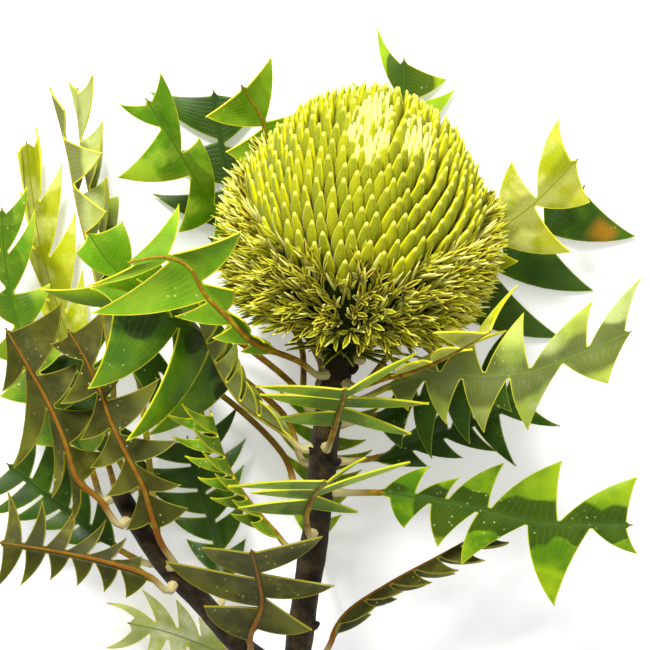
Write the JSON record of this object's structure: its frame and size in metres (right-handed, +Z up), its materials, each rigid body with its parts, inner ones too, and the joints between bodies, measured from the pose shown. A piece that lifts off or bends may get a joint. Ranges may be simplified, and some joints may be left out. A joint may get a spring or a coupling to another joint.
{
  "type": "banksia flower",
  "caption": "Banksia sprig lying on a surface: a domed yellow flower head on a forked woody stem with stiff saw-toothed leaves cut nearly to the midrib.",
  "frame": {"origin": "centre of the bounding box's base, on the surface that the sprig lies on", "axes": "+Z up from the surface, +Y from the cut end of the stem towards the flower head's top, +X to the right as seen from above"},
  "size_m": [0.2327, 0.2488, 0.1181],
  "materials": {
    "floret": "soft, finely hairy florets, olive-yellow with bright yellow edges",
    "bract": "dull, dark green, narrow and stiff",
    "bark": "velvety dark brown bark, matt",
    "leaf_dark": "waxy, dark green, thin yellow margin",
    "leaf_mid": "waxy, mid green, thin yellow margin, brown midrib",
    "leaf_light": "waxy, yellow-green, thin yellow margin"
  },
  "bodies": {
    "root": {"bracts": "bract", "flower_head": "floret", "leaf_back": "leaf_mid", "leaf_bottom_right": "leaf_light", "leaf_bright_left": "leaf_light", "leaf_front_left": "leaf_mid", "leaf_front_low": "leaf_dark", "leaf_front_middle": "leaf_dark", "leaf_front_top": "leaf_mid", "leaf_glossy": "leaf_mid", "leaf_left_middle": "leaf_light", "leaf_low_left": "leaf_dark", "leaf_low_right": "leaf_dark", "leaf_low_side_right": "leaf_mid", "leaf_pale_left": "leaf_light", "leaf_right": "leaf_mid", "leaf_right_edge": "leaf_light", "leaf_right_fill": "leaf_dark", "leaf_right_shade": "leaf_dark", "leaf_shade_left": "leaf_dark", "leaf_top": "leaf_mid", "leaf_top_left": "leaf_light", "leaf_upper_left": "leaf_mid", "leaf_upper_right": "leaf_light", "side_leaf_big_left": "leaf_mid", "side_leaf_far_left": "leaf_mid", "side_leaf_hooked": "leaf_light", "side_leaf_low": "leaf_mid", "side_leaf_middle": "leaf_mid", "side_leaf_pale_low": "leaf_light", "side_leaf_shade_low": "leaf_dark", "side_leaf_shade_right": "leaf_dark", "side_leaf_under": "leaf_dark", "side_leaf_upright": "leaf_light", "side_leaf_yellow": "leaf_light", "stem": "bark"}
  },
  "joints": []
}
